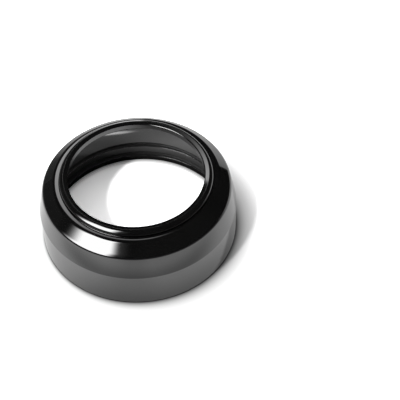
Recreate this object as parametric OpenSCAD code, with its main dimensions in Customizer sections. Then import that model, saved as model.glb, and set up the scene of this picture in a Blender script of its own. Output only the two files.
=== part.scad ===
/* [Bore and wall] */
// Bore that slips over the slider's top end
bore_d = 57.6; // [54:0.1:69.5]
// Wall between the bore and the ridge
wall = 2.2; // [1.6:0.1:4]
// Hole in the top, which clears the fork tube
hole_d = 42.4; // [31:0.1:45]
// How far the hole's wall reaches below the lip's crest
hole_land = 2.1; // [1.6:0.1:4]
// Height at which the bore ends and the throat cone runs in to the hole
bore_h = 15.1; // [12:0.1:17]

/* [Outside shape] */
// Height from the foot to the lip's crest
total_h = 24.8; // [24:0.1:35]
// Height of the ridge, where the straight lower band ends
ridge_h = 12; // [9:0.5:13]
// Height of the upper band, from the ridge to the shoulder
upper_band_h = 7.7; // [3:0.1:8.5]
// How far the upper band leans in on its way up
upper_band_lean = 1.6; // [0.5:0.1:3]
// Width of the step's flat ring
step_w = 1.05; // [0.8:0.05:2.5]
// Width of the raised lip
lip_w = 2.75; // [2.4:0.05:4]
// Height of the lip's crest above the step
lip_rise = 1.95; // [1.85:0.05:2.5]
// Distance from the lip's outer wall in to its crest
crest_inset = 1.4; // [1.3:0.05:1.6]
// Slope of the lip's top from its crest down to the hole
lip_dish_angle = 9; // [2:1:15]
// Slope of the lip's top from its crest down to its outer wall
lip_fall_angle = 17; // [14:1:20]

/* [Rounds] */
// Round at the foot's outer edge
foot_round = 0.5; // [0.1:0.1:1]
// Round at the mouth of the bore
mouth_round = 0.3; // [0.1:0.1:0.6]
// Round on the ridge
ridge_round = 1; // [0.2:0.1:3]
// Round on the shoulder
shoulder_round = 2.5; // [0.1:0.1:3]
// Round where the main cone runs over into the step
step_round = 1.7; // [0.3:0.1:2.5]
// Fillet at the base of the lip
lip_fillet = 0.1; // [0.1:0.05:0.25]
// Round on the lip's outer edge
lip_outer_round = 1.7; // [0.3:0.1:1.7]
// Round on the lip's crest
crest_round = 0.2; // [0.1:0.05:0.3]
// Round on the lip's inner edge
lip_inner_round = 0.3; // [0.1:0.1:1]
// Round at the lower end of the hole's wall
throat_round = 0.3; // [0.1:0.1:1]
// Fillet between the throat cone and the bore
throat_fillet = 1; // [0.2:0.1:2]

/* [O-rings and grooves] */
// Thickness of the rubber cord
cord_d = 1.7; // [1.2:0.1:2.4]
// How far each O-ring stands out of the bore's wall
cord_stand = 0.45; // [0.2:0.05:0.7]
// Gap between the cord and the groove's floor
cord_floor_gap = 0.05; // [0.02:0.01:0.15]
// Gap between the cord and each side of its groove
cord_side_gap = 0.05; // [0.02:0.01:0.15]
// Height of the lower groove's middle
lower_groove_h = 3; // [2:0.1:4]
// Distance between the two grooves
groove_pitch = 4.45; // [3.2:0.05:5]
// Break on each groove's edges
groove_break = 0.15; // [0.05:0.05:0.3]

/* [Hidden] */
$fn = 192;

// Radii of the ring, each worked out from its neighbour
bore_r = bore_d / 2;
ridge_r = bore_r + wall;
shoulder_r = ridge_r - upper_band_lean;
hole_r = hole_d / 2;
lip_r = hole_r + lip_w;
step_r = lip_r + step_w;

// Heights of the ring
shoulder_h = ridge_h + upper_band_h;
step_h = total_h - lip_rise;
crest_r = lip_r - crest_inset;
lip_outer_h = total_h - crest_inset * tan(lip_fall_angle);
lip_inner_h = total_h - (crest_r - hole_r) * tan(lip_dish_angle);
throat_top_h = total_h - hole_land;

// The flat ring ends where the round begins, and the main cone leaves the
// round at the angle at which it meets the shoulder
cone_run = shoulder_r - step_r;
cone_drop = step_h - shoulder_h;
cone_reach = norm([cone_run, cone_drop - step_round]);
cone_lean = atan2(cone_run, cone_drop - step_round) - asin(step_round / cone_reach);
edge_inset = step_round * tan((90 - cone_lean) / 2);
step_corner_r = step_r + edge_inset;

// Grooves and cords
cord_r = cord_d / 2;
cord_ring_r = bore_r - cord_stand + cord_r;
groove_floor_r = cord_ring_r + cord_r + cord_floor_gap;
groove_w = cord_d + 2 * cord_side_gap;
upper_groove_h = lower_groove_h + groove_pitch;

// The section's corners as [radius, height, round], from the foot up the
// outside, over the lip and down through the hole
OUTLINE = [
    [bore_r, 0, mouth_round],
    [ridge_r, 0, foot_round],
    [ridge_r, ridge_h, ridge_round],
    [shoulder_r, shoulder_h, shoulder_round],
    [step_corner_r, step_h, step_round],
    [lip_r, step_h, lip_fillet],
    [lip_r, lip_outer_h, lip_outer_round],
    [crest_r, total_h, crest_round],
    [hole_r, lip_inner_h, lip_inner_round],
    [hole_r, throat_top_h, throat_round],
    [bore_r, bore_h, throat_fillet],
];

// A disc that joins slanting straights is this much larger than its round and
// runs on past its ends by this angle, so that it crosses them cleanly
DISC_EXTRA = 0.0003;
DISC_OVERRUN = 6;

function spot(corner) = [corner[0], corner[1]];
function towards(from, to) = (to - from) / norm(to - from);
function turned(v, angle) = [v[0] * cos(angle) - v[1] * sin(angle), v[0] * sin(angle) + v[1] * cos(angle)];

// A corner and its two neighbours give the round's start, centre and end, a
// number that is positive where the corner stands out, and whether it is square
function round_at(corners, i) =
    let (
        count = len(corners),
        here = spot(corners[i]),
        back = towards(here, spot(corners[(i + count - 1) % count])),
        ahead = towards(here, spot(corners[(i + 1) % count])),
        is_square = abs(back * ahead) < 0.001,
        half = acos(back * ahead) / 2,
        radius = corners[i][2],
        reach = radius / tan(half),
        middle = towards([0, 0], back + ahead)
    )
    [here + back * reach, here + middle * radius / sin(half), here + ahead * reach, cross(ahead, back), is_square];

// Slice of a disc that fills or cuts one corner's round
module disc_slice(round, radius) {
    centre = round[1];
    is_square = round[4];
    overrun = is_square ? 0 : DISC_OVERRUN * sign(round[3]);
    from = turned(round[0] - centre, -overrun);
    to = turned(round[2] - centre, overrun);
    translate(centre)
        intersection() {
            circle(is_square ? radius : radius + DISC_EXTRA);
            polygon([[0, 0], 2 * from, 2 * from + 2 * to, 2 * to]);
        }
}

// Closed outline whose corners are all turned to their own rounds
module rounded_outline(corners) {
    rounds = [for (i = [0 : len(corners) - 1]) round_at(corners, i)];
    difference() {
        union() {
            polygon([for (one = rounds) each [one[0], one[2]]]);
            for (i = [0 : len(corners) - 1])
                if (rounds[i][3] > 0)
                    disc_slice(rounds[i], corners[i][2]);
        }
        for (i = [0 : len(corners) - 1])
            if (rounds[i][3] < 0)
                disc_slice(rounds[i], corners[i][2]);
    }
}

// Section of one groove, with its two edges broken
module groove_section(middle_h) {
    half_w = groove_w / 2;
    inside_r = bore_r - groove_break;
    polygon([
        [inside_r, middle_h - half_w - 2 * groove_break],
        [bore_r + groove_break, middle_h - half_w],
        [groove_floor_r, middle_h - half_w],
        [groove_floor_r, middle_h + half_w],
        [bore_r + groove_break, middle_h + half_w],
        [inside_r, middle_h + half_w + 2 * groove_break],
    ]);
}

// Rubber ring of round cord
module oring(middle_h) {
    color([0.05, 0.05, 0.05])
        rotate_extrude()
            translate([cord_ring_r, middle_h]) circle(cord_r, $fn = 48);
}

// The turned cover: bands, cone, step and lip outside, bore and grooves inside
module cover_ring() {
    color([0.10, 0.10, 0.11])
        rotate_extrude()
            difference() {
                rounded_outline(OUTLINE);
                groove_section(lower_groove_h);
                groove_section(upper_groove_h);
            }
}

module lower_oring() {
    oring(lower_groove_h);
}

module upper_oring() {
    oring(upper_groove_h);
}

cover_ring();
lower_oring();
upper_oring();
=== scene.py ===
"""Visual model of a turned, gloss black cover ring with two rubber O-rings in its bore."""

import logging
import math
from dataclasses import dataclass
from enum import Enum

import bpy
from mathutils import Matrix, Vector


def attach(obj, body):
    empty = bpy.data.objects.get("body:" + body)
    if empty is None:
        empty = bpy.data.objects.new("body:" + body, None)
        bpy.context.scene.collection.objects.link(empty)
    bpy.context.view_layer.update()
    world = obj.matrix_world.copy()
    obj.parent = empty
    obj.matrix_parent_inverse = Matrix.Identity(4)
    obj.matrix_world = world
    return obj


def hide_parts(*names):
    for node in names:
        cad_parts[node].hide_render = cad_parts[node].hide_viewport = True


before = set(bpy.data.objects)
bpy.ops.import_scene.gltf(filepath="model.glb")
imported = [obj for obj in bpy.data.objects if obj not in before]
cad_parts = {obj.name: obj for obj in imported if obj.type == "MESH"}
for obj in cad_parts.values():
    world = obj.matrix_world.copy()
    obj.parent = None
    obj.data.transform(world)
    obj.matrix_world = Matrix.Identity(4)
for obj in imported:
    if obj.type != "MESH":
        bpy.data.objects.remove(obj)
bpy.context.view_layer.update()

LOG = logging.getLogger("cover_ring")

MM = 0.001

# Distance between the nodes of a tree
COLUMN_WIDTH = 180

# Octaves of a soft noise and of a fine one
SOFT_OCTAVES = 2.0
FINE_OCTAVES = 4.0

# Part of a noise's range that its changes are spread over
NOISE_SPAN = (0.3, 0.7)

# Depth that a bump's full height stands for
BUMP_DEPTH = 0.02 * MM


class Finish(Enum):
    """Names of the finishes, one for each material slot of the record."""

    GLOSS_BLACK = "gloss_black_metal"
    RUBBER = "black_rubber"


class Turn(Enum):
    """The way a round goes on the drawn section, seen with the axis on the left."""

    OUT = 1
    IN = -1


# Helpers for nodes


class NodePlan:
    """Lays out one node tree, with short calls for nodes, values and links."""

    def __init__(self, tree: bpy.types.NodeTree) -> None:
        """Starts on a tree and empties it.

        Args:
            tree: The node tree to fill.
        """
        self.tree = tree
        self.column = 0
        tree.nodes.clear()

    def add(self, kind: str, **values: object) -> bpy.types.Node:
        """Adds a node and sets its plain properties.

        Args:
            kind: The node's type, such as "ShaderNodeMath".
            values: Properties by name.

        Returns:
            The new node.
        """
        node = self.tree.nodes.new(kind)
        node.location = (COLUMN_WIDTH * self.column, 0)
        self.column += 1
        for name, value in values.items():
            setattr(node, name, value)
        return node

    def feed(self, socket: bpy.types.NodeSocket, source: object) -> None:
        """Gives a socket its source, which is another socket or a plain value.

        Args:
            socket: The input to fill.
            source: An output socket, a number, a vector or a colour.
        """
        if isinstance(source, bpy.types.NodeSocket):
            self.tree.links.new(source, socket)
        else:
            socket.default_value = source

    def math(
        self, operation: str, first: object, second: object = 0.0, third: object = 0.0
    ) -> bpy.types.NodeSocket:
        """Adds a Math node.

        Args:
            operation: The node's operation.
            first: First number or socket.
            second: Second number or socket.
            third: Third number or socket, where the operation has one.

        Returns:
            The node's output.
        """
        node = self.add("ShaderNodeMath", operation=operation)
        for socket, source in zip(node.inputs, (first, second, third)):
            self.feed(socket, source)
        return node.outputs[0]

    def ramp(
        self, value: object, low: float, high: float, to_low: object = 0.0, to_high: object = 1.0
    ) -> bpy.types.NodeSocket:
        """Adds a smooth Map Range node.

        Args:
            value: What is mapped.
            low: Where the ramp starts.
            high: Where the ramp ends.
            to_low: Result at the start.
            to_high: Result at the end.

        Returns:
            The mapped value.
        """
        node = self.add("ShaderNodeMapRange", interpolation_type="SMOOTHSTEP")
        for name, source in (
            ("Value", value),
            ("From Min", low),
            ("From Max", high),
            ("To Min", to_low),
            ("To Max", to_high),
        ):
            self.feed(node.inputs[name], source)
        return node.outputs["Result"]

    def product(self, first: object, second: object) -> bpy.types.NodeSocket:
        """Multiplies two numbers or sockets."""
        return self.math("MULTIPLY", first, second)

    def grey(self, tone: bpy.types.NodeSocket) -> bpy.types.NodeSocket:
        """Makes a grey of a tone.

        Args:
            tone: The level of red, green and blue alike.

        Returns:
            The colour.
        """
        colour = self.add("ShaderNodeCombineColor")
        for channel in colour.inputs:
            self.feed(channel, tone)
        return colour.outputs[0]

    def parts(self, place: bpy.types.NodeSocket) -> bpy.types.NodeOutputs:
        """Splits coordinates into X, Y and Z.

        Args:
            place: The coordinates.

        Returns:
            The three numbers, as outputs named X, Y and Z.
        """
        node = self.add("ShaderNodeSeparateXYZ")
        self.feed(node.inputs[0], place)
        return node.outputs

    def bump(self, height: bpy.types.NodeSocket, strength: float) -> bpy.types.NodeSocket:
        """Adds a Bump node.

        Args:
            height: The height that it reads.
            strength: Its strength.

        Returns:
            The bumped normal.
        """
        node = self.add("ShaderNodeBump")
        node.inputs["Strength"].default_value = strength
        node.inputs["Distance"].default_value = BUMP_DEPTH
        self.feed(node.inputs["Height"], height)
        return node.outputs[0]

    def group(
        self, tree: bpy.types.NodeTree, place: bpy.types.NodeSocket, **values: float
    ) -> bpy.types.NodeOutputs:
        """Places a node group.

        Args:
            tree: The group.
            place: The coordinates for its Vector input.
            values: Its other inputs by name, with a low line for each space.

        Returns:
            The group's outputs.
        """
        node = self.add("ShaderNodeGroup", node_tree=tree)
        self.feed(node.inputs["Vector"], place)
        for name, value in values.items():
            node.inputs[name.replace("_", " ")].default_value = value
        return node.outputs

    def blend(self, share: object, first: object, second: object) -> bpy.types.NodeSocket:
        """Mixes two numbers.

        Args:
            share: 0 for the first number, 1 for the second.
            first: The first number.
            second: The second number.

        Returns:
            The mixed number.
        """
        node = self.add("ShaderNodeMix", data_type="FLOAT")
        for socket, source in zip((node.inputs[0], node.inputs[2], node.inputs[3]), (share, first, second)):
            self.feed(socket, source)
        return node.outputs[0]

    def noise(self, place: bpy.types.NodeSocket, scale: object, detail: float) -> bpy.types.NodeSocket:
        """Adds a Noise Texture node.

        Args:
            place: The coordinates it reads.
            scale: Its scale.
            detail: Its number of octaves.

        Returns:
            The noise's value.
        """
        node = self.add("ShaderNodeTexNoise")
        self.feed(node.inputs["Vector"], place)
        self.feed(node.inputs["Scale"], scale)
        node.inputs["Detail"].default_value = detail
        return node.outputs["Fac"]


def make_group(
    name: str, sockets_in: dict[str, float], sockets_out: tuple[str, ...]
) -> tuple[bpy.types.NodeTree, NodePlan]:
    """Starts a shader node group with named sockets.

    Args:
        name: The group's name.
        sockets_in: Number inputs with their defaults, after the Vector input that each group has.
        sockets_out: Names of the number outputs.

    Returns:
        The group and the plan that fills it.
    """
    tree = bpy.data.node_groups.new(name, "ShaderNodeTree")
    tree.interface.new_socket("Vector", in_out="INPUT", socket_type="NodeSocketVector")
    for label, value in sockets_in.items():
        socket = tree.interface.new_socket(label, in_out="INPUT", socket_type="NodeSocketFloat")
        socket.default_value = value
    for label in sockets_out:
        tree.interface.new_socket(label, in_out="OUTPUT", socket_type="NodeSocketFloat")
    return tree, NodePlan(tree)


def surface_variation() -> bpy.types.NodeTree:
    """Builds the group of faint, uneven changes that each finish uses.

    Returns:
        The group, with the outputs Cloud for broad changes and Grain for fine ones.
    """
    scales = {"Cloud Scale": 90.0, "Grain Scale": 2500.0}
    tree, plan = make_group("surface_variation", scales, ("Cloud", "Grain"))
    given = plan.add("NodeGroupInput").outputs
    end = plan.add("NodeGroupOutput")
    plan.feed(end.inputs["Cloud"], plan.noise(given["Vector"], given["Cloud Scale"], SOFT_OCTAVES))
    plan.feed(end.inputs["Grain"], plan.noise(given["Vector"], given["Grain Scale"], FINE_OCTAVES))
    return tree


def turning_marks() -> bpy.types.NodeTree:
    """Builds the group of fine rings that a lathe leaves, which vary with radius and height.

    Returns:
        The group, with the output Height.
    """
    tree, plan = make_group("turning_marks", {"Pitch Scale": 5000.0}, ("Height",))
    given = plan.add("NodeGroupInput").outputs
    end = plan.add("NodeGroupOutput")
    parts = plan.parts(given["Vector"])
    squares = plan.math("MULTIPLY_ADD", parts["X"], parts["X"], plan.product(parts["Y"], parts["Y"]))
    travel = plan.math("ADD", plan.math("SQRT", squares), parts["Z"])
    line = plan.add("ShaderNodeCombineXYZ")
    plan.feed(line.inputs["X"], travel)
    plan.feed(end.inputs["Height"], plan.noise(line.outputs[0], given["Pitch Scale"], SOFT_OCTAVES))
    return tree


# Limits of the painted shade on the wall above the lip's base: how far out it starts, and how far up it
# starts and ends, all measured from the corner
PAINTED_SHADE_OUTWARD = (-0.6 * MM, -0.4 * MM)
PAINTED_SHADE_START = (0.02 * MM, 0.06 * MM)
PAINTED_SHADE_END = (0.85 * MM, 1.1 * MM)


def painted_corner_shade() -> bpy.types.NodeTree:
    """Builds the group of painted shade on the wall above an inside corner, which blackens that wall's
    reflections.

    Returns:
        The group, whose one output is the painted shade.
    """
    tree, plan = make_group("painted_corner_shade", {"Radius": 0.024, "Height": 0.023}, ("PaintedShade",))
    given = plan.add("NodeGroupInput").outputs
    end = plan.add("NodeGroupOutput")
    parts = plan.parts(given["Vector"])
    across = plan.add("ShaderNodeCombineXYZ")
    plan.feed(across.inputs["X"], parts["X"])
    plan.feed(across.inputs["Y"], parts["Y"])
    radius = plan.add("ShaderNodeVectorMath", operation="LENGTH")
    plan.feed(radius.inputs[0], across.outputs[0])
    outward = plan.math("SUBTRACT", radius.outputs["Value"], given["Radius"])
    upward = plan.math("SUBTRACT", parts["Z"], given["Height"])
    wall = plan.product(plan.ramp(outward, *PAINTED_SHADE_OUTWARD), plan.ramp(upward, *PAINTED_SHADE_START))
    plan.feed(end.inputs["PaintedShade"], plan.product(wall, plan.ramp(upward, *PAINTED_SHADE_END, 1.0, 0.0)))
    return tree


# Finishes


@dataclass(frozen=True)
class GlossBlack:
    """Gloss black coating over turned metal, with painted shade on the wall above a corner given by its
    radius and height in mm.
    """

    corner: tuple[float, float]
    name: str = "gloss_black"
    shade: float = 0.002
    shade_spread: float = 0.001
    roughness: float = 0.045
    roughness_spread: float = 0.02
    ior: float = 1.95
    ripple: float = 0.015
    corner_shade_strength: float = 0.85

    def build(self, groups: dict[str, bpy.types.NodeTree]) -> bpy.types.Material:
        """Makes the material.

        Args:
            groups: The shared node groups by name.

        Returns:
            The material.
        """
        material = bpy.data.materials.new(self.name)
        material.use_nodes = True
        plan = NodePlan(material.node_tree)
        place = plan.add("ShaderNodeTexCoord").outputs["Object"]
        varied = plan.group(groups["variation"], place)
        marks = plan.group(groups["marks"], place)
        radius, height = self.corner
        corner_shade = plan.group(groups["corner"], place, Radius=radius * MM, Height=height * MM)
        tone = plan.ramp(varied["Cloud"], *NOISE_SPAN, self.shade, self.shade + self.shade_spread)
        roughest = self.roughness + self.roughness_spread
        gloss = plan.ramp(varied["Grain"], *NOISE_SPAN, self.roughness, roughest)
        shader = plan.add("ShaderNodeBsdfPrincipled")
        shader.inputs["IOR"].default_value = self.ior
        # Painted shade: metallic with the near-black base colour blackens the reflections on the wall above
        # the lip's base.
        plan.feed(shader.inputs["Metallic"], plan.product(corner_shade["PaintedShade"], self.corner_shade_strength))
        plan.feed(shader.inputs["Base Color"], plan.grey(tone))
        plan.feed(shader.inputs["Roughness"], gloss)
        plan.feed(shader.inputs["Normal"], plan.bump(marks["Height"], self.ripple))
        end = plan.add("ShaderNodeOutputMaterial")
        plan.feed(end.inputs["Surface"], shader.outputs[0])
        return material


@dataclass(frozen=True)
class Rubber:
    """Matt black rubber with a fine grain and a faint pale bloom."""

    name: str = "matt_rubber"
    cloud_scale: float = 260.0
    grain_scale: float = 5200.0
    shade: float = 0.004
    bloom: float = 0.003
    bloom_span: tuple[float, float] = (0.35, 0.75)
    roughness: float = 0.5
    roughness_spread: float = 0.12
    grain: float = 0.25
    specular: float = 0.3

    def build(self, groups: dict[str, bpy.types.NodeTree]) -> bpy.types.Material:
        """Makes the material.

        Args:
            groups: The shared node groups by name.

        Returns:
            The material.
        """
        material = bpy.data.materials.new(self.name)
        material.use_nodes = True
        plan = NodePlan(material.node_tree)
        place = plan.add("ShaderNodeTexCoord").outputs["Object"]
        scales = {"Cloud_Scale": self.cloud_scale, "Grain_Scale": self.grain_scale}
        varied = plan.group(groups["variation"], place, **scales)
        tone = plan.ramp(varied["Cloud"], *self.bloom_span, self.shade, self.shade + self.bloom)
        roughest = self.roughness + self.roughness_spread
        gloss = plan.ramp(varied["Cloud"], *NOISE_SPAN, self.roughness, roughest)
        shader = plan.add("ShaderNodeBsdfPrincipled")
        shader.inputs["Specular IOR Level"].default_value = self.specular
        plan.feed(shader.inputs["Base Color"], plan.grey(tone))
        plan.feed(shader.inputs["Roughness"], gloss)
        plan.feed(shader.inputs["Normal"], plan.bump(varied["Grain"], self.grain))
        end = plan.add("ShaderNodeOutputMaterial")
        plan.feed(end.inputs["Surface"], shader.outputs[0])
        return material


# Turned pieces


class Pen:
    """Draws a section in the XZ plane with mesh operators, then turns it round the axis."""

    ARC_STEP = math.radians(5)
    LEAST_ARC_STEPS = 3
    WELD = 0.001 * MM

    def __init__(self, name: str, radius: float, height: float) -> None:
        """Puts the first point down.

        Args:
            name: The piece's name.
            radius: Distance of the point from the axis, in mm.
            height: Height of the point, in mm.
        """
        bpy.ops.object.select_all(action="DESELECT")
        bpy.ops.mesh.primitive_plane_add(size=MM, location=(radius * MM, 0, height * MM))
        self.piece = bpy.context.object
        self.piece.name = name
        self.piece.data.name = name
        bpy.ops.object.transform_apply(location=True, rotation=True, scale=True)
        bpy.ops.object.mode_set(mode="EDIT")
        bpy.ops.mesh.select_all(action="SELECT")
        bpy.ops.mesh.merge(type="CENTER")
        self.at = Vector((radius, height))

    def line(self, end: Vector) -> None:
        """Draws a straight edge.

        Args:
            end: Radius and height of its end, in mm.
        """
        move = (end - self.at) * MM
        if move.length < self.WELD:
            return
        bpy.ops.mesh.extrude_vertices_move(TRANSFORM_OT_translate={"value": (move.x, 0, move.y)})
        self.at = end.copy()

    def arc(self, centre: Vector, angle: float) -> None:
        """Draws an arc.

        Args:
            centre: Radius and height of its centre, in mm.
            angle: Its angle, positive where it runs from the radius towards the height.
        """
        steps = max(self.LEAST_ARC_STEPS, math.ceil(abs(angle) / self.ARC_STEP))
        bpy.ops.mesh.spin(
            steps=steps,
            angle=angle,
            center=(centre.x * MM, 0, centre.y * MM),
            axis=(0, 1, 0),
            use_auto_merge=False,
        )
        self.at = centre + Matrix.Rotation(angle, 2) @ (self.at - centre)

    def turn(self, steps: int, sharp: float) -> bpy.types.Object:
        """Turns the section into a closed ring and finishes its mesh.

        Args:
            steps: Number of faces round the ring.
            sharp: Angle in degrees past which an edge stays sharp.

        Returns:
            The finished piece.
        """
        bpy.ops.mesh.select_all(action="SELECT")
        bpy.ops.mesh.remove_doubles(threshold=self.WELD)
        bpy.ops.mesh.spin(steps=steps, angle=math.tau, center=(0, 0, 0), axis=(0, 0, 1))
        bpy.ops.mesh.select_all(action="SELECT")
        bpy.ops.mesh.remove_doubles(threshold=self.WELD)
        bpy.ops.mesh.normals_make_consistent(inside=False)
        bpy.ops.object.mode_set(mode="OBJECT")
        bpy.ops.object.shade_smooth_by_angle(angle=math.radians(sharp))
        return self.piece


@dataclass
class CoverRing:
    """The turned cover: bands, cone, step and lip outside, bore and grooves inside. Sizes in mm."""

    bore_d: float = 57.6
    wall: float = 2.2
    hole_d: float = 42.4
    hole_land: float = 2.1
    bore_h: float = 15.1
    total_h: float = 24.8
    ridge_h: float = 12.0
    upper_band_h: float = 7.7
    upper_band_lean: float = 1.6
    step_w: float = 1.05
    lip_w: float = 2.75
    lip_rise: float = 1.95
    crest_inset: float = 1.4
    lip_dish_angle: float = 9.0
    lip_fall_angle: float = 17.0
    foot_round: float = 0.5
    mouth_round: float = 0.3
    ridge_round: float = 1.0
    shoulder_round: float = 2.5
    step_round: float = 1.7
    lip_fillet: float = 0.1
    lip_outer_round: float = 1.7
    crest_round: float = 0.2
    lip_inner_round: float = 0.3
    throat_round: float = 0.3
    throat_fillet: float = 1.0
    groove_heights: tuple[float, float] = (3.0, 7.45)
    groove_w: float = 1.8
    groove_floor_r: float = 30.1
    groove_break: float = 0.15
    steps: int = 300
    support: float = 0.12
    supports_that_fit: int = 3
    sharp: float = 28.0

    def corners(self) -> list[tuple[float, float, float]]:
        """Lists the section's corners.

        Returns:
            Radius, height and round of each corner, from the foot up the outside and down through the hole.
        """
        bore_r = self.bore_d / 2
        ridge_r = bore_r + self.wall
        shoulder_r = ridge_r - self.upper_band_lean
        hole_r = self.hole_d / 2
        lip_r = hole_r + self.lip_w
        step_r = lip_r + self.step_w
        shoulder_h = self.ridge_h + self.upper_band_h
        step_h = self.total_h - self.lip_rise
        crest_r = lip_r - self.crest_inset
        outer_h = self.total_h - self.crest_inset * math.tan(math.radians(self.lip_fall_angle))
        inner_h = self.total_h - (crest_r - hole_r) * math.tan(math.radians(self.lip_dish_angle))
        throat_top_h = self.total_h - self.hole_land
        run = shoulder_r - step_r
        drop = step_h - shoulder_h
        reach = math.hypot(run, drop - self.step_round)
        lean = math.atan2(run, drop - self.step_round) - math.asin(self.step_round / reach)
        step_corner_r = step_r + self.step_round * math.tan((math.pi / 2 - lean) / 2)
        grooves = []
        for middle in sorted(self.groove_heights, reverse=True):
            top = middle + self.groove_w / 2
            foot = middle - self.groove_w / 2
            grooves += [
                (bore_r, top, self.groove_break),
                (self.groove_floor_r, top, self.groove_break),
                (self.groove_floor_r, foot, self.groove_break),
                (bore_r, foot, self.groove_break),
            ]
        return [
            (bore_r, 0, self.mouth_round),
            (ridge_r, 0, self.foot_round),
            (ridge_r, self.ridge_h, self.ridge_round),
            (shoulder_r, shoulder_h, self.shoulder_round),
            (step_corner_r, step_h, self.step_round),
            (lip_r, step_h, self.lip_fillet),
            (lip_r, outer_h, self.lip_outer_round),
            (crest_r, self.total_h, self.crest_round),
            (hole_r, inner_h, self.lip_inner_round),
            (hole_r, throat_top_h, self.throat_round),
            (bore_r, self.bore_h, self.throat_fillet),
            *grooves,
        ]

    def lip_base(self) -> tuple[float, float]:
        """Gives the radius and height of the corner at the lip's base."""
        return self.hole_d / 2 + self.lip_w, self.total_h - self.lip_rise

    def build(self) -> bpy.types.Object:
        """Draws the section with its rounds and turns it.

        Returns:
            The finished ring.
        """
        corners = self.corners()
        count = len(corners)
        rounds = []
        for index, (radius, height, size) in enumerate(corners):
            here = Vector((radius, height))
            back = (Vector(corners[index - 1][:2]) - here).normalized()
            ahead = (Vector(corners[(index + 1) % count][:2]) - here).normalized()
            half = back.angle(ahead) / 2
            side = Turn.OUT if ahead.cross(back) > 0 else Turn.IN
            centre = here + (back + ahead).normalized() * size / math.sin(half)
            reach = size / math.tan(half)
            angle = (math.pi - 2 * half) * side.value
            rounds.append((here + back * reach, centre, angle))
        first = rounds[0][0]
        pen = Pen("cover_ring_turned", first.x, first.y)
        for start, centre, angle in rounds:
            self.straight(pen, start)
            pen.arc(centre, angle)
        self.straight(pen, first)
        return pen.turn(self.steps, self.sharp)

    def straight(self, pen: Pen, end: Vector) -> None:
        """Draws a straight, with a support point near each of its ends where it is long enough.

        Args:
            pen: The pen that draws it.
            end: Where it ends.
        """
        start = pen.at.copy()
        length = (end - start).length
        if length > self.supports_that_fit * self.support:
            along = (end - start).normalized() * self.support
            pen.line(start + along)
            pen.line(end - along)
        pen.line(end)


@dataclass
class ORing:
    """Rubber O-ring with the fine parting line of its mould. Sizes in mm."""

    name: str
    height: float
    cord_d: float = 1.7
    ring_r: float = 29.2
    parting: float = 0.02
    sides: int = 40
    steps: int = 256
    sharp: float = 40.0

    def build(self) -> bpy.types.Object:
        """Draws the cord's section, raises its parting line and turns it.

        Returns:
            The finished O-ring.
        """
        bpy.ops.object.select_all(action="DESELECT")
        bpy.ops.mesh.primitive_circle_add(
            vertices=self.sides,
            radius=self.cord_d / 2 * MM,
            location=(self.ring_r * MM, 0, self.height * MM),
            rotation=(math.pi / 2, 0, 0),
        )
        piece = bpy.context.object
        piece.name = self.name
        piece.data.name = self.name
        bpy.ops.object.transform_apply(location=True, rotation=True, scale=True)
        for side in (1, -1):
            self.raise_parting(piece, side)
        bpy.ops.object.mode_set(mode="EDIT")
        bpy.ops.mesh.select_all(action="SELECT")
        bpy.ops.mesh.spin(steps=self.steps, angle=math.tau, center=(0, 0, 0), axis=(0, 0, 1))
        bpy.ops.mesh.select_all(action="SELECT")
        bpy.ops.mesh.remove_doubles(threshold=Pen.WELD)
        bpy.ops.mesh.normals_make_consistent(inside=False)
        bpy.ops.object.mode_set(mode="OBJECT")
        bpy.ops.object.shade_smooth_by_angle(angle=math.radians(self.sharp))
        return piece

    def raise_parting(self, piece: bpy.types.Object, side: int) -> None:
        """Moves the section's outermost or innermost point out by the parting line's height.

        Args:
            piece: The section.
            side: 1 for the outermost point, -1 for the innermost.
        """
        bpy.ops.object.mode_set(mode="EDIT")
        bpy.ops.mesh.select_mode(type="VERT")
        bpy.ops.mesh.select_all(action="DESELECT")
        bpy.ops.object.mode_set(mode="OBJECT")
        chosen = max(piece.data.vertices, key=lambda vertex: side * vertex.co.x)
        chosen.select = True
        bpy.ops.object.mode_set(mode="EDIT")
        bpy.ops.transform.translate(value=(side * self.parting * MM, 0, 0))
        bpy.ops.object.mode_set(mode="OBJECT")


# Studio


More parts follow.
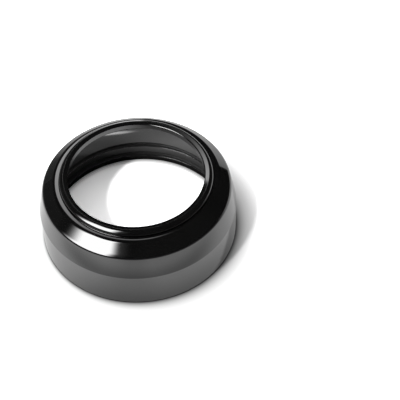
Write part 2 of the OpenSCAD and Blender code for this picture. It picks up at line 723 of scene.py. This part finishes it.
@dataclass(frozen=True)
class LightCard:
    """A curved glowing card, given as a patch of a sphere round the object. Angles in degrees."""

    name: str
    azimuth: tuple[float, float]
    elevation: tuple[float, float]
    radiance: float
    fade_azimuth: tuple[float, float] = (0.0, 0.0)
    fade_elevation: tuple[float, float] = (0.0, 0.0)
    distance: float = 0.9
    rows: int = 24
    columns: int = 32
    falloff: float = 2.0

    def build(self) -> None:
        """Adds the card, which the camera doesn't see."""
        bpy.ops.object.select_all(action="DESELECT")
        bpy.ops.mesh.primitive_plane_add(size=MM, location=(self.distance, 0, 0))
        card = bpy.context.object
        card.name = self.name
        bpy.ops.object.transform_apply(location=True, rotation=True, scale=True)
        bpy.ops.object.mode_set(mode="EDIT")
        bpy.ops.mesh.select_all(action="SELECT")
        bpy.ops.mesh.merge(type="CENTER")
        low, high = (math.radians(angle) for angle in self.elevation)
        left, right = (math.radians(angle) for angle in self.azimuth)
        self.sweep(1, low, (0, 1, 0))
        bpy.ops.mesh.select_all(action="INVERT")
        bpy.ops.mesh.delete(type="VERT")
        self.sweep(self.rows, high - low, (0, 1, 0))
        self.sweep(self.columns, right - left, (0, 0, -1))
        bpy.ops.object.mode_set(mode="OBJECT")
        card.rotation_euler = (0, 0, left)
        bpy.ops.object.transform_apply(location=True, rotation=True, scale=True)
        card.data.materials.append(self.glow())
        card.visible_camera = False
        card.visible_diffuse = False
        card.visible_shadow = False

    def sweep(self, steps: int, angle: float, axis: tuple[float, float, float]) -> None:
        """Sweeps all that is drawn round an axis through the object's origin.

        Args:
            steps: Number of steps.
            angle: The angle that it sweeps.
            axis: The axis.
        """
        bpy.ops.mesh.select_all(action="SELECT")
        bpy.ops.mesh.spin(steps=steps, angle=angle, center=(0, 0, 0), axis=axis, use_auto_merge=False)

    def glow(self) -> bpy.types.Material:
        """Makes the card's material, which fades at the edges that are soft and hides nothing behind it.

        Returns:
            The material.
        """
        material = bpy.data.materials.new(self.name)
        material.use_nodes = True
        plan = NodePlan(material.node_tree)
        parts = plan.parts(plan.add("ShaderNodeTexCoord").outputs["Object"])
        azimuth = plan.math("ARCTAN2", parts["Y"], parts["X"])
        turned = plan.math("SUBTRACT", azimuth, math.radians(sum(self.azimuth) / 2))
        around = plan.math("WRAP", turned, math.pi, -math.pi)
        upward = plan.math("ARCSINE", plan.math("DIVIDE", parts["Z"], self.distance))
        half = math.radians(self.azimuth[1] - self.azimuth[0]) / 2
        level = self.radiance
        edges = (
            (around, -half, self.fade_azimuth[0], 1),
            (around, half, self.fade_azimuth[1], -1),
            (upward, math.radians(self.elevation[0]), self.fade_elevation[0], 1),
            (upward, math.radians(self.elevation[1]), self.fade_elevation[1], -1),
        )
        for value, edge, fade, side in edges:
            if fade:
                inside = edge + side * math.radians(fade)
                low, high = sorted((edge, inside))
                shade = plan.ramp(value, low, high) if side > 0 else plan.ramp(value, low, high, 1.0, 0.0)
                level = plan.product(plan.math("POWER", shade, self.falloff), level)
        glow = plan.add("ShaderNodeEmission")
        plan.feed(glow.inputs["Strength"], level)
        both = plan.add("ShaderNodeAddShader")
        plan.feed(both.inputs[0], glow.outputs[0])
        plan.feed(both.inputs[1], plan.add("ShaderNodeBsdfTransparent").outputs[0])
        end = plan.add("ShaderNodeOutputMaterial")
        plan.feed(end.inputs["Surface"], both.outputs[0])
        return material


@dataclass(frozen=True)
class KeyLight:
    """A round lamp that lights the floor. Angles in degrees, lengths in metres, power in watts."""

    name: str = "key_lamp"
    azimuth: float = -133.0
    elevation: float = 56.8
    distance: float = 0.9
    width: float = 0.08
    power: float = 5.0

    def build(self) -> None:
        """Adds the lamp, which mirrors don't show."""
        data = bpy.data.lights.new(self.name, "AREA")
        data.shape = "DISK"
        data.size = self.width
        data.energy = self.power
        lamp = bpy.data.objects.new(self.name, data)
        bpy.context.scene.collection.objects.link(lamp)
        around = math.radians(self.azimuth)
        upward = math.radians(self.elevation)
        flat = math.cos(upward)
        toward = Vector((math.cos(around) * flat, math.sin(around) * flat, math.sin(upward)))
        lamp.location = toward * self.distance
        lamp.rotation_euler = toward.to_track_quat("Z", "Y").to_euler()
        lamp.visible_camera = False
        lamp.visible_glossy = False


@dataclass
class Studio:
    """Pale floor with painted shadow, painted shade and painted reflections, white surround, light cards and
    the camera. Lengths in metres.

    A pair among the fields of painted shadow at the foot, painted reflection, inside shade and bright spot
    says where a ramp starts and ends. Four numbers give its start and end and then its levels there.
    """

    floor_size: float = 8.0
    floor_shade: float = 0.9
    camera_gain: float = 2.2
    # Painted shadow in the floor's colour outside the ring, and painted shade inside it, both as the camera
    # sees the floor.
    contact_start: float = 0.0309
    contact_reach: float = 0.0055
    contact_widening: float = 0.135
    contact_least_reach: float = 0.0005
    contact_power: float = 3.0
    contact_level: float = 0.43
    contact_end: tuple[float, float] = (0.0350, 0.0480)
    painted_inside_shade: tuple[float, float, float, float] = (0.0264, 0.0290, 1.08, 0.3)
    inner_edge: float = 0.0300
    # Painted levels of the floor as reflections show it, and a painted bright spot that the bore shows as a
    # highlight.
    mirror_level: float = 0.72
    mirror_inside: tuple[float, float, float, float] = (0.0190, 0.0285, 1.42, 0.06)
    mirror_near: tuple[float, float] = (0.030, 0.040)
    mirror_near_levels: tuple[float, float] = (0.8, 0.62)
    mirror_off_level: float = 0.97
    mirror_dip: tuple[float, float, float] = (0.042, 0.051, 0.062)
    mirror_dip_front: tuple[float, float] = (-0.040, -0.010)
    mirror_dip_depth: float = 0.48
    mirror_far: tuple[float, float, float, float] = (0.040, 0.075, 1.0, 0.8)
    mirror_left: tuple[float, float, float, float] = (-0.028, -0.004, 1.4, 1.0)
    mirror_right: tuple[float, float, float, float] = (0.0, 0.015, 1.0, 1.18)
    mirror_back: tuple[float, float] = (0.010, 0.045)
    mirror_front: tuple[float, float, float, float] = (0.080, 0.120, 1.0, 0.1)
    mirror_back_left: tuple[float, float, float, float] = (-0.090, 0.010, 0.08, 1.0)
    inside_left: tuple[float, float, float, float] = (-0.006, 0.006, 0.4, 1.3)
    painted_glint_centre: tuple[float, float, float] = (-0.0020, 0.0150, 0.0)
    painted_glint_reach: tuple[float, float, float, float] = (0.0002, 0.0009, 7.5, 1.0)
    fill: float = 1.0
    dark: float = 0.01
    lens: float = 96.08
    camera_place: tuple[float, float, float] = (0.01956, -0.22143, 0.26720)
    camera_pitch: float = 40.91
    camera_roll: float = -0.72
    camera_clip: tuple[float, float] = (0.01, 20.0)
    cards: tuple[LightCard, ...] = (
        LightCard("side_card", (-177.0, -109.5), (8.0, 62.0), 9.6, (22.0, 15.0), (0.0, 6.0)),
        LightCard("side_tail", (-119.0, -93.0), (12.0, 60.0), 0.25, (2.0, 24.0), (4.0, 6.0), distance=0.88),
        LightCard("back_card", (90.0, 114.0), (43.2, 65.0), 2.6, (4.0, 4.0), (1.2, 21.0)),
        LightCard("back_wall", (90.0, 122.0), (-4.0, 34.0), 3.6, (3.0, 26.0), (0.0, 22.0)),
        LightCard("dim_wall", (120.0, 184.0), (-4.0, 28.0), 0.03, (8.0, 8.0), (0.0, 6.0)),
    )

    def build(self) -> None:
        """Builds the whole studio."""
        self.floor()
        self.surround()
        KeyLight().build()
        for card in self.cards:
            card.build()
            LOG.info("card %s", card.name)
        self.camera()
        bpy.context.scene.view_settings.view_transform = "Standard"

    def floor(self) -> None:
        """Adds the floor: white to the camera, with a painted shadow at the ring's foot and painted shade
        inside it, with painted levels of its own in reflections, and keeping the lamp's real shadow.
        """
        bpy.ops.object.select_all(action="DESELECT")
        bpy.ops.mesh.primitive_plane_add(size=self.floor_size)
        floor = bpy.context.object
        floor.name = "floor"
        material = bpy.data.materials.new("pale_floor")
        material.use_nodes = True
        plan = NodePlan(material.node_tree)
        ray = plan.add("ShaderNodeLightPath")
        place = plan.add("ShaderNodeTexCoord").outputs["Object"]
        radius = self.distance(plan, place, (0.0, 0.0, 0.0))
        beyond = plan.math("GREATER_THAN", radius, self.inner_edge)
        painted_reflection = plan.product(self.painted_reflection(plan, place, radius, beyond), self.mirror_level)
        # Painted shade inside the ring, darker towards its wall.
        inside = plan.ramp(radius, *self.painted_inside_shade)
        seen = plan.product(plan.blend(beyond, inside, self.painted_contact_shadow(plan, place, radius)), self.camera_gain)
        level = plan.blend(ray.outputs["Is Glossy Ray"], 1.0, painted_reflection)
        level = plan.blend(ray.outputs["Is Camera Ray"], level, seen)
        paper = plan.add("ShaderNodeBsdfDiffuse")
        plan.feed(paper.inputs["Color"], plan.grey(plan.product(level, self.floor_shade)))
        end = plan.add("ShaderNodeOutputMaterial")
        plan.feed(end.inputs["Surface"], paper.outputs[0])
        floor.data.materials.append(material)

    def painted_reflection(
        self,
        plan: NodePlan,
        place: bpy.types.NodeSocket,
        radius: bpy.types.NodeSocket,
        beyond: bpy.types.NodeSocket,
    ) -> bpy.types.NodeSocket:
        """Gives the floor's painted level in reflections, which is soft near the ring and falls off far from
        it, with a painted bright spot inside the ring.

        Args:
            plan: The plan of the material.
            place: The coordinates.
            radius: Distance from the ring's axis.
            beyond: 1 outside the ring and 0 inside.

        Returns:
            The level.
        """
        parts = plan.parts(place)
        sideways = parts["X"]
        sides = plan.product(plan.ramp(sideways, *self.mirror_left), plan.ramp(sideways, *self.mirror_right))
        left, right = self.mirror_left[:2]
        floor_near = plan.ramp(sideways, left, right, *self.mirror_near_levels)
        near = plan.ramp(radius, *self.mirror_near, floor_near, self.mirror_off_level)
        start, middle, end = self.mirror_dip
        swell = plan.product(plan.ramp(radius, start, middle), plan.ramp(radius, middle, end, 1.0, 0.0))
        depth = plan.ramp(parts["Y"], *self.mirror_dip_front, self.mirror_dip_depth, 0.0)
        dip = plan.math("SUBTRACT", 1.0, plan.product(swell, depth))
        behind = plan.ramp(parts["Y"], *self.mirror_back)
        front = plan.ramp(radius, *self.mirror_front)
        back = plan.blend(behind, front, plan.ramp(sideways, *self.mirror_back_left))
        far = plan.product(plan.ramp(radius, *self.mirror_far), back)
        outside = plan.product(plan.product(near, dip), plan.product(far, sides))
        inside = plan.product(plan.ramp(radius, *self.mirror_inside), plan.ramp(sideways, *self.inside_left))
        # A painted bright spot in the floor's colour, seen only in reflections.
        glint = plan.ramp(self.distance(plan, place, self.painted_glint_centre), *self.painted_glint_reach)
        return plan.blend(beyond, plan.product(inside, glint), outside)

    def painted_contact_shadow(
        self, plan: NodePlan, place: bpy.types.NodeSocket, radius: bpy.types.NodeSocket
    ) -> bpy.types.NodeSocket:
        """Gives the floor's level outside the ring: a painted shadow, dark at its foot, that widens to the
        right.

        Args:
            plan: The plan of the material.
            place: The coordinates.
            radius: Distance from the ring's axis.

        Returns:
            The level.
        """
        sideways = plan.parts(place)["X"]
        reach = plan.math("MULTIPLY_ADD", sideways, self.contact_widening, self.contact_reach)
        reach = plan.math("MAXIMUM", reach, self.contact_least_reach)
        share = plan.math("DIVIDE", plan.math("SUBTRACT", radius, self.contact_start), reach)
        left = plan.math("SUBTRACT", 1.0, plan.math("MAXIMUM", plan.math("MINIMUM", share, 1.0), 0.0))
        close = plan.math("SUBTRACT", 1.0, plan.math("POWER", left, self.contact_power))
        open_floor = plan.ramp(radius, *self.contact_end)
        return plan.blend(open_floor, plan.product(close, self.contact_level), 1.0)

    def distance(
        self, plan: NodePlan, place: bpy.types.NodeSocket, centre: tuple[float, float, float]
    ) -> bpy.types.NodeSocket:
        """Gives the distance of each floor point from a centre.

        Args:
            plan: The plan of the material.
            place: The coordinates.
            centre: The point that distances are measured from.

        Returns:
            The distance.
        """
        node = plan.add("ShaderNodeVectorMath", operation="DISTANCE")
        plan.feed(node.inputs[0], place)
        plan.feed(node.inputs[1], centre)
        return node.outputs["Value"]

    def surround(self) -> None:
        """Makes the world white to the camera and to dull surfaces, and dark in reflections."""
        world = bpy.data.worlds.new("surround")
        world.use_nodes = True
        bpy.context.scene.world = world
        plan = NodePlan(world.node_tree)
        ray = plan.add("ShaderNodeLightPath")
        glow = plan.add("ShaderNodeBackground")
        soft = plan.ramp(ray.outputs["Is Diffuse Ray"], 0.0, 1.0, self.dark, self.fill)
        plan.feed(glow.inputs["Strength"], plan.math("MAXIMUM", soft, ray.outputs["Is Camera Ray"]))
        glow.inputs["Color"].default_value = (1, 1, 1, 1)
        end = plan.add("ShaderNodeOutputWorld")
        plan.feed(end.inputs["Surface"], glow.outputs[0])

    def camera(self) -> None:
        """Adds the camera at the photograph's viewing angle."""
        data = bpy.data.cameras.new("camera")
        data.lens = self.lens
        data.clip_start, data.clip_end = self.camera_clip
        camera = bpy.data.objects.new("camera", data)
        bpy.context.scene.collection.objects.link(camera)
        camera.matrix_world = (
            Matrix.Translation(self.camera_place)
            @ Matrix.Rotation(math.radians(self.camera_pitch), 4, "X")
            @ Matrix.Rotation(math.radians(self.camera_roll), 4, "Z")
        )
        bpy.context.scene.camera = camera


# The whole scene


def place(piece: bpy.types.Object, node: str, finish: Finish, material: bpy.types.Material) -> None:
    """Gives a piece its material, its body and the CAD node that it stands for.

    Args:
        piece: The finished piece.
        node: The CAD node that it replaces.
        finish: The record's material slot; not used.
        material: The material it wears.
    """
    piece.data.materials.clear()
    piece.data.materials.append(material)
    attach(piece, "root")
    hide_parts(node)
    LOG.info("piece %s stands for %s, %d faces", piece.name, node, len(piece.data.polygons))


def main() -> None:
    """Builds the ring, its O-rings and the studio."""
    logging.basicConfig(level=logging.INFO, format="%(name)s: %(message)s")
    # The corner group paints shade on the wall above the lip's base.
    groups = {"variation": surface_variation(), "marks": turning_marks(), "corner": painted_corner_shade()}
    ring = CoverRing()
    gloss = GlossBlack(ring.lip_base()).build(groups)
    rubber = Rubber().build(groups)
    place(ring.build(), "cover_ring", Finish.GLOSS_BLACK, gloss)
    for node, height in zip(("lower_oring", "upper_oring"), ring.groove_heights):
        place(ORing(node + "_moulded", height).build(), node, Finish.RUBBER, rubber)
    Studio().build()


if __name__ == "__main__":
    main()
